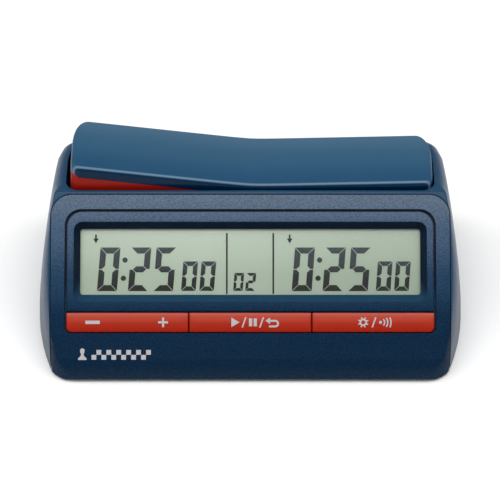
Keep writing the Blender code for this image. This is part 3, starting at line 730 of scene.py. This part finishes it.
def make_casing():
    casing = casing_form("casing_shell", CASING_BLUE, detail=FINE)
    cavity = casing_form("cavity", None, front=WALL + SHELF, panel=SHELF + WALL, top=WALL, back=WALL,
                         side=SIDE_WALL, floor_z=CUT_BASE_Z)
    tub = cutter("tub", well_outline(WELL_CLEARANCE + TUB_WALL), WELL_FLOOR_Z - TUB_WALL, CUT_TOP_Z, FLOOR)
    carve(cavity, [("DIFFERENCE", tub)])
    shelf = casing_form("shelf", None, front=-2.0, panel=-2.0, top=-3.0, side=-2.0, floor_z=-3.0)
    plan = panel_plan("shelf_plan", PANEL_HALF_WIDTH + GAP, 0.0, PANEL_CORNER + GAP)
    keep = casing_form("shelf_keep", None, front=SHELF, panel=SHELF, top=CUT_ROOF, side=SHELF, fade=True,
                       floor_z=CUT_BASE_Z)
    carve(shelf, [("INTERSECT", plan), ("DIFFERENCE", keep)])
    well = cutter("well", well_outline(WELL_CLEARANCE), WELL_FLOOR_Z, CUT_TOP_Z, FLOOR)
    throat = window("throat", BEZEL_HALF_WIDTH - 0.6, BEZEL_TOP + 0.9, KEY_TOP + 0.4, 4.5, 0.8)
    row = window("row", WINDOW_HALF_WIDTH, KEY_TOP - 0.4, WINDOW_BOTTOM, 0.5, 2.2)
    notch = cutter("notch", DOOR_NOTCH, -2.0, DOOR_NOTCH_TOP, FLOOR)
    carve(casing, [("DIFFERENCE", other) for other in (cavity, shelf, well, throat, row, notch)])
    # Painted shade: the shelf faces seen down the groove round the panel get the recess's darker material
    shade_recess(casing, -SHELF - 0.1, -SHELF + 0.1)
    return casing


def make_front_skin():
    panel = casing_form("front_skin", PANEL_BLUE, top=-3.0, detail=FINE)
    plan = panel_plan("panel_plan", PANEL_HALF_WIDTH, GAP, PANEL_CORNER)
    back = casing_form("panel_back", None, front=PANEL_THICKNESS, panel=PANEL_THICKNESS, top=CUT_ROOF,
                       side=PANEL_THICKNESS, fade=True, floor_z=CUT_BASE_Z)
    opening = window("opening", WINDOW_HALF_WIDTH + GROOVE, WINDOW_TOP - GROOVE, WINDOW_BOTTOM, 5.8, 2.2)
    carve(panel, [("INTERSECT", plan), ("DIFFERENCE", back), ("DIFFERENCE", opening)])
    return panel


# Rings of the display's frame, from its outer foot over its rounded lip and down into the recess:
# half width, top, bottom, radii of the upper and lower corners, height over the panel
BEZEL_RINGS = (
    (64.10, 7.5, 41.5, 4.2, 0.5, -6.10),
    (64.10, 7.5, 41.5, 4.2, 0.5, -1.55),
    (BEZEL_HALF_WIDTH, BEZEL_TOP, BEZEL_BOTTOM, 5.4, 0.5, -1.50),
    (BEZEL_HALF_WIDTH, BEZEL_TOP, BEZEL_BOTTOM, 5.4, 0.5, -0.55),
    (64.94, 6.36, 41.84, 5.34, 0.5, -0.28),
    (64.76, 6.54, 41.66, 5.2, 0.5, -0.08),
    (64.50, 6.80, 41.40, 5.0, 0.5, 0.00),
    (RECESS_HALF_WIDTH + 0.60, RECESS_TOP - 0.60, RECESS_BOTTOM + 0.60, 3.6, 3.6, 0.00),
    (RECESS_HALF_WIDTH + 0.32, RECESS_TOP - 0.32, RECESS_BOTTOM + 0.32, 3.4, 3.4, -0.05),
    (RECESS_HALF_WIDTH + 0.12, RECESS_TOP - 0.12, RECESS_BOTTOM + 0.12, 3.2, 3.2, -0.14),
    (RECESS_HALF_WIDTH, RECESS_TOP, RECESS_BOTTOM, 3.1, 3.1, -0.25),
    (62.45, 10.1, 38.25, 3.0, 3.0, -0.55),
    (60.62, 11.95, 35.74, 1.2, 1.2, -3.80),
    (VIEW_HALF_WIDTH, VIEW_TOP, VIEW_BOTTOM, 1.0, 1.0, -4.00),
    (VIEW_HALF_WIDTH, VIEW_TOP, VIEW_BOTTOM, 1.0, 1.0, -4.25),
    (62.10, 10.7, 37.4, 1.2, 1.2, -4.26),
    (62.10, 10.7, 37.4, 1.2, 1.2, -6.10),
)


def make_bezel():
    """The display's frame as one closed band."""
    rings = []
    for half, top, bottom, corner_top, corner_bottom, height in BEZEL_RINGS:
        outline = rounded_rect(-half, half, -bottom, -top, corner_top, corner_bottom)
        rings.append([Vector((x, y, height)) for x, y in outline])
    bezel = skin("bezel_frame", rings, PANEL_BLUE, PANEL, closed=True, sharp=40.0)
    # Painted shade: the recess walls below this height get the recess's darker material
    shade_recess(bezel, -math.inf, RECESS_SHADE_LEVEL)
    return bezel


# Keys and their printing


def key_surface(y):
    """Height of a key's crowned face at a distance from its middle line."""
    return KEY_EDGE + KEY_SHOULDER + KEY_CROWN * (1 - (y / KEY_HALF_HEIGHT) ** 2)


def key_place(middle):
    """The middle of a key on the panel."""
    return PANEL @ Matrix.Translation(Vector((middle, -KEY_MIDDLE, 0.0)) * MM)


# How far each ring of a key stands in from its outline, and its height, or none on the crowned face
KEY_RINGS = (
    (0.0, KEY_FOOT), (0.0, KEY_EDGE), (0.05, KEY_EDGE + 0.15), (0.16, KEY_EDGE + 0.29),
    (0.34, None), (0.8, None), (1.3, None), (1.8, None), (2.4, None), (2.9, None), (3.3, None),
)


def make_key(name, middle):
    """A key with a crowned face; the lower corner at each end of the row is rounder."""
    half_x, half_y = KEY_WIDTH / 2, KEY_HALF_HEIGHT
    left_foot = KEY_OUTER_FOOT if middle < 0.0 else KEY_INNER_FOOT
    right_foot = KEY_OUTER_FOOT if middle > 0.0 else KEY_INNER_FOOT
    rings = []
    for inset, height in KEY_RINGS:
        x, y = half_x - inset, half_y - inset
        top = max(KEY_CORNER - inset, 0.1)
        feet = [max(foot - inset, 0.1) if y > foot else 0.1 for foot in (left_foot, right_foot)]
        outline = outline_fillet(((-x, -y), (x, -y), (x, y), (-x, y)), (*feet, top, top), (5,) * 4)
        rings.append([Vector((x, y, key_surface(y) if height is None else height)) for x, y in outline])
    return skin(name, rings, KEY_RED, key_place(middle), sharp=50.0)


def ring_outline(radius, start, end, steps):
    """Points on a circle from one angle to another."""
    return [
        (radius * math.cos(start + (end - start) * step / steps),
         radius * math.sin(start + (end - start) * step / steps))
        for step in range(steps + 1)
    ]


def arc_band(centre, radius, width, start, end, steps=10):
    """A curved stroke about a centre, with angles in degrees."""
    start, end = math.radians(start), math.radians(end)
    outer = ring_outline(radius + width / 2, start, end, steps)
    inner = ring_outline(radius - width / 2, end, start, steps)
    return [(centre[0] + x, centre[1] + y) for x, y in outer + inner]


def slanted(x, height=3.6, width=0.55, lean=0.35):
    """A slash about a place on the key's middle line."""
    low, high = -height / 2, height / 2
    return [(x - width / 2 + lean * low, low), (x + width / 2 + lean * low, low),
            (x + width / 2 + lean * high, high), (x - width / 2 + lean * high, high)]


def block(x, y, width, height):
    """A rectangle about its centre."""
    return [(x - width / 2, y - height / 2), (x + width / 2, y - height / 2),
            (x + width / 2, y + height / 2), (x - width / 2, y + height / 2)]


def gear_band(x, teeth=8, root=1.30, tip=1.90, hole=0.72):
    """Half of a toothed ring at a time, so that each outline stays open to its hole."""
    tooth_shape = ((0.0, root), (0.22, root), (0.30, tip), (0.62, tip), (0.70, root), (1.0, root))
    shapes = []
    for half in (0, 1):
        outline = []
        for tooth in range(teeth // 2):
            base = 2 * math.pi * (tooth + half * teeth / 2) / teeth
            for share, radius in tooth_shape:
                turn = base + share * 2 * math.pi / teeth
                outline.append((x + radius * math.cos(turn), radius * math.sin(turn)))
        inner = ring_outline(hole, math.pi * (half + 1), math.pi * half, 10)
        shapes.append(outline + [(x + px, py) for px, py in inner])
    return shapes


def sound_waves(x):
    """A dot with three arcs to its right; each arc has a radius and half its angle in degrees."""
    waves = [arc_band((x, 0.0), 0.28, 0.55, 0.0, 358.0, 14)]
    for radius, angle in ((1.45, 48.0), (2.55, 38.0), (3.70, 28.0)):
        waves.append(arc_band((x, 0.0), radius, 0.50, -angle, angle))
    return waves


def key_symbols():
    """Outlines of the printed symbols for each key, about the key's middle."""
    minus_x, plus_x = -55.7 + KEY_PITCH, -30.8 + KEY_PITCH
    gear_x, slash_x, waves_x = 39.9 - KEY_PITCH, 43.7 - KEY_PITCH, 46.0 - KEY_PITCH
    return {
        "plus_minus": [
            block(minus_x, 0.0, 5.1, 1.2),
            block(plus_x, 0.0, 3.5, 0.75),
            block(plus_x, 1.04, 0.75, 1.33),
            block(plus_x, -1.04, 0.75, 1.33),
        ],
        "start": [
            [(-6.7, -1.7), (-3.8, 0.0), (-6.7, 1.7)],
            slanted(-2.2),
            block(0.1, 0.0, 1.15, 2.8),
            block(1.75, 0.0, 1.15, 2.8),
            slanted(4.0),
            [(5.4, 0.55), (7.0, -0.65), (7.0, 1.75)],
            block(7.9, 0.55, 1.9, 0.7),
            arc_band((8.8, -0.45), 1.0, 0.7, -90.0, 90.0),
            block(7.7, -1.45, 2.2, 0.7),
        ],
        "setup": [*gear_band(gear_x), slanted(slash_x), *sound_waves(waves_x)],
    }


def print_shapes(name, shapes, finish, place, surface, thickness=0.06, sink=0.05, slice_step=None):
    """Flat outlines as thin raised shapes, sliced finely enough to follow a curved surface."""
    bm = bmesh.new()
    for outline in shapes:
        top = [bm.verts.new((x, y, thickness)) for x, y in outline]
        low = [bm.verts.new((x, y, -sink)) for x, y in outline]
        bm.faces.new(top)
        bm.faces.new(list(reversed(low)))
        for index in range(len(outline)):
            after = (index + 1) % len(outline)
            bm.faces.new((top[after], top[index], low[index], low[after]))
    bmesh.ops.triangulate(bm, faces=[face for face in bm.faces if len(face.verts) > 4])
    if slice_step is not None:
        for cut in range(-5, 6):
            parts = list(bm.verts) + list(bm.edges) + list(bm.faces)
            height = cut * slice_step
            bmesh.ops.bisect_plane(bm, geom=parts, plane_co=(0.0, height, 0.0), plane_no=(0.0, 1.0, 0.0))
    for vert in bm.verts:
        vert.co.z += surface(vert.co.y)
    return finish_mesh(name, bm, finish, place)


# Printing on the display and on the lower panel

SEGMENTS = {"0": "abcdef", "2": "abdeg", "5": "acdfg"}


def digit(character, x, low, height, width, thick, gap):
    """Seven-segment strokes with mitred ends, leaning to the right."""
    middle, half = height / 2, thick / 2
    strokes = {
        "a": [(gap, height), (width - gap, height), (width - thick - gap, height - thick),
              (thick + gap, height - thick)],
        "d": [(gap, 0.0), (thick + gap, thick), (width - thick - gap, thick), (width - gap, 0.0)],
        "f": [(0.0, height - gap), (thick, height - thick - gap), (thick, middle + half + gap * 0.6),
              (half, middle + gap), (0.0, middle + gap)],
        "e": [(0.0, gap), (0.0, middle - gap), (half, middle - gap), (thick, middle - half - gap * 0.6),
              (thick, thick + gap)],
        "g": [(half + gap, middle), (thick + gap, middle + half), (width - thick - gap, middle + half),
              (width - half - gap, middle), (width - thick - gap, middle - half),
              (thick + gap, middle - half)],
    }
    strokes["b"] = [(width - px, py) for px, py in strokes["f"]]
    strokes["c"] = [(width - px, py) for px, py in strokes["e"]]
    return [
        [(x - width / 2 + px + (py - middle) * DIGIT_SLANT, low + py) for px, py in strokes[name]]
        for name in SEGMENTS[character]
    ]


def number(text, centres, low, height, width, thick, gap=0.15):
    """Digits about their centres, above a base line."""
    shapes = []
    for character, x in zip(text, centres):
        shapes += digit(character, x, low, height, width, thick, gap)
    return shapes


def dot(x, y, radius=0.95):
    return [(x + px, y + py) for px, py in ring_outline(radius, 0.0, 2 * math.pi * 15 / 16, 15)]


def down_arrow(x):
    return [
        [(x - 0.3, -15.6), (x + 0.3, -15.6), (x + 0.3, -14.0), (x - 0.3, -14.0)],
        [(x - 1.0, -15.4), (x, -17.1), (x + 1.0, -15.4)],
    ]


def make_display_ink():
    """Two clocks of the same digits, a small number between them and two dividing lines."""
    shapes, marks = [], []
    for shift, arrow in ((0.0, -54.6), (69.35, 14.5)):
        shapes += number("025", (-50.0 + shift, -39.0 + shift, -30.0 + shift), -34.2, 15.6, 7.1, 2.15)
        shapes += number("00", (-21.2 + shift, -14.7 + shift), -34.1, 10.5, 5.2, 1.6)
        shapes += [dot(-44.2 + shift, -23.1), dot(-44.75 + shift, -29.6)]
        marks += down_arrow(arrow)
    shapes += number("02", (-3.7, 0.6), -34.1, 6.4, 3.4, 1.0, 0.10)
    for x in (-7.9, 8.65):
        marks.append(block(x, -24.3, 0.6, 21.8))
    place = PANEL @ Matrix.Translation(Vector((INK_SHIFT, 0.0, 0.0)) * MM)
    for name, outlines, finish in (("display_digits", shapes, INK), ("display_marks", marks, INK_DARK)):
        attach(print_shapes(name, outlines, finish, place, lambda y: INK_LEVEL, 0.04, 0.0), "housing")


def pictogram(pawn_x=-59.3, strip_x=-55.2, pitch=1.75, square=1.7):
    """A pawn beside a strip of squares, in place of lettering on the lower panel."""
    side = [(-1.5, 0.0), (1.5, 0.0), (1.5, 0.55), (1.05, 0.95), (0.55, 1.5), (0.42, 2.3), (0.75, 2.45),
            (0.75, 2.7)]
    head = [(0.82 * math.cos(turn), 3.3 + 0.82 * math.sin(turn))
            for turn in [math.radians(angle) for angle in range(-40, 221, 20)]]
    other_side = [(-x, y) for x, y in reversed(side[1:])]
    shapes = [[(x + pawn_x, y) for x, y in side + head + other_side]]
    for column in range(12):
        for row in range(2):
            if (column + row) % 2 == 0:
                shapes.append(block(strip_x + column * pitch, 0.95 + row * pitch, square, square))
    return shapes


# Lever


def make_lever_cap():
    """The lever's cap: a shallow V with all its upper edges rounded and a brow along its front."""
    quarter = [math.pi / 2 * step / 8 for step in range(9)]

    def section(x):
        front, back = lever_plan(x)
        end = min(max(abs(x) - (LEVER_HALF - CAP_EDGE), 0.0), CAP_EDGE)
        drop = CAP_EDGE - math.sqrt(CAP_EDGE**2 - end**2)
        top = LEVER_TOP_Z + math.tan(LEVER_V) * (math.hypot(x, V_ROUNDING) - V_SINK)
        first, last = front + CAP_EDGE, back - CAP_EDGE
        rounding = [(CAP_EDGE * (1 - math.cos(turn)), top - drop - CAP_EDGE * (1 - math.sin(turn)))
                    for turn in quarter]
        outline = [(front, top - CAP_HEIGHT)]
        outline += [(front + inset, z) for inset, z in rounding]
        outline += [(first + (last - first) * part / 20, top - drop) for part in range(1, 20)]
        outline += [(back - inset, z) for inset, z in reversed(rounding)]
        outline.append((back, top - CAP_HEIGHT))
        points = []
        for index, (depth, z) in enumerate(outline):
            near = max(first + CAP_BROW - depth, 0.0) / CAP_BROW
            lower = CAP_BROW_DROP * near**2 if 0 < index < len(outline) - 1 else 0.0
            points.append(Vector((x, depth - PIVOT_DEPTH, z - lower - PIVOT_Z)))
        return points

    rings = [section(x) for x in lever_stations(LEVER_HALF, 64)]
    return skin("lever_top", rings, LEVER_BLUE, LEVER, sharp=40.0)


# Pieces on their bodies


def stand_in(piece, body, node):
    """A piece that is seen instead of a CAD node."""
    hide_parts(node)
    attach(piece, body)


stand_in(make_casing(), "housing", "upper_casing")
stand_in(make_front_skin(), "housing", "front_panel")
stand_in(make_bezel(), "housing", "display_bezel")
stand_in(make_lever_cap(), "lever", "lever_cap")
make_display_ink()

SYMBOLS = key_symbols()
for body, middle in (("plus_minus", -KEY_PITCH), ("start", 0.0), ("setup", KEY_PITCH)):
    stand_in(make_key(body + "_face", middle), body, body + "_key")
    symbols = print_shapes(body + "_symbols", SYMBOLS[body], PRINT, key_place(middle), key_surface,
                           slice_step=0.4)
    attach(symbols, body)

lower_print = PANEL @ Matrix.Translation(Vector((0.0, -PICTOGRAM_BOTTOM, 0.0)) * MM)
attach(print_shapes("panel_pictogram", pictogram(), PRINT, lower_print, lambda y: 0.0, 0.05), "housing")

NODE_FINISHES = {
    LEVER_RED: ("lever_base",),
    DISPLAY: ("lcd_glass",),
    CLEAR: ("display_lens",),
    CASING_BLACK: ("base_cover", "battery_door", "power_knob", "lcd_holder", "buzzer",
                   "lever_switch_left", "lever_switch_right"),
    RUBBER: ("foot_1", "foot_2", "foot_3", "foot_4"),
    BOARD_GREEN: ("main_board", "switch_board"),
    EPOXY: ("clock_chip",),
    SILICONE: ("keypad_mat", "zebra_strip_upper", "zebra_strip_lower"),
    CARBON: ("minus_pill", "plus_pill", "start_pill", "setup_pill"),
    SLEEVE: ("battery_cell_1", "battery_cell_2", "capacitor"),
    WIRE_RED: ("battery_wire_1",),
    WIRE_BLACK: ("battery_wire_2",),
    STEEL: ("lever_pin", "casing_screw_1", "casing_screw_2", "casing_screw_3", "casing_screw_4",
            "board_screw_1", "board_screw_2", "board_screw_3", "board_screw_4"),
    METAL: ("lcd_reflector", "quartz_crystal", "contact_plate_1", "contact_plate_2",
            "contact_spring_1", "contact_spring_2", "power_switch"),
}
for finish, names in NODE_FINISHES.items():
    for name in names:
        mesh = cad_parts[name].data
        mesh.materials.clear()
        mesh.materials.append(finish)


# Floor, light and camera


# Floor in millimetres, lights and camera in metres
FLOOR_HALF_WIDTH = 3500.0
FLOOR_FRONT = -2500.0
SWEEP_START = 600.0
SWEEP_RADIUS = 900.0
SWEEP_STEPS = 16
SWEEP_TOP_Z = 3000.0
CLOCK_MIDDLE = Vector((0.0, 0.0, 0.03))
CAMERA_AIM = Vector((-0.0001, -0.008, 0.026))
CAMERA_RISE = 0.00225
CAMERA_ELEVATION = math.radians(41.66)
CAMERA_DISTANCE = 0.900
CAMERA_LENS = 180.5
WORLD_STRENGTH = 0.45


def make_floor():
    """A pale sweep: flat underfoot and curving up far behind the clock."""
    bm = bmesh.new()
    profile = [(FLOOR_FRONT, FLOOR_LEVEL), (SWEEP_START, FLOOR_LEVEL)]
    for step in range(1, SWEEP_STEPS + 1):
        turn = math.pi / 2 * step / SWEEP_STEPS
        profile.append((SWEEP_START + SWEEP_RADIUS * math.sin(turn),
                        FLOOR_LEVEL + SWEEP_RADIUS * (1 - math.cos(turn))))
    profile.append((SWEEP_START + SWEEP_RADIUS, SWEEP_TOP_Z))
    rows = [[bm.verts.new((x, y, z)) for y, z in profile] for x in (-FLOOR_HALF_WIDTH, FLOOR_HALF_WIDTH)]
    for index in range(len(profile) - 1):
        bm.faces.new((rows[0][index], rows[1][index], rows[1][index + 1], rows[0][index + 1]))
    shader = Shader("floor_white")
    shader.feed(shader.tint((0.90, 0.90, 0.90, 1.0), 0.01, 60.0), "Base Color")
    shader.fixed(Roughness=0.7)
    floor = finish_mesh("studio_floor", bm, shader.material, Matrix.Identity(4))


def area_light(name, place, size, power):
    """A soft light that points at the clock; places and sizes are in metres."""
    light = bpy.data.lights.new(name, "AREA")
    light.shape = "RECTANGLE"
    light.size, light.size_y = size
    light.energy = power
    made = bpy.data.objects.new(name, light)
    bpy.context.scene.collection.objects.link(made)
    made.location = place
    made.rotation_euler = (CLOCK_MIDDLE - Vector(place)).to_track_quat("-Z", "Y").to_euler()


make_floor()
area_light("overhead", (0.0, -0.28, 1.1), (1.8, 0.9), 14.0)
area_light("left_wall", (-1.2, 0.1, 0.7), (0.7, 0.7), 3.0)
area_light("right_wall", (1.2, 0.1, 0.7), (0.7, 0.7), 1.5)

world = bpy.data.worlds.new("studio")
world.use_nodes = True
sky = world.node_tree.nodes["Background"]
sky.inputs["Color"].default_value = (1.0, 1.0, 1.0, 1.0)
sky.inputs["Strength"].default_value = WORLD_STRENGTH
bpy.context.scene.world = world

bpy.context.scene.view_settings.view_transform = "Standard"

back = Vector((0.0, -math.cos(CAMERA_ELEVATION), math.sin(CAMERA_ELEVATION)))
up = Vector((0.0, math.sin(CAMERA_ELEVATION), math.cos(CAMERA_ELEVATION)))
aim = CAMERA_AIM + up * CAMERA_RISE
camera_data = bpy.data.cameras.new("photo_camera")
camera_data.lens = CAMERA_LENS
camera_data.sensor_width = 36.0
camera_data.clip_start = 0.05
camera_data.clip_end = 50.0
camera = bpy.data.objects.new("photo_camera", camera_data)
bpy.context.scene.collection.objects.link(camera)
camera.location = aim + back * CAMERA_DISTANCE
camera.rotation_euler = (-back).to_track_quat("-Z", "Y").to_euler()
bpy.context.scene.camera = camera
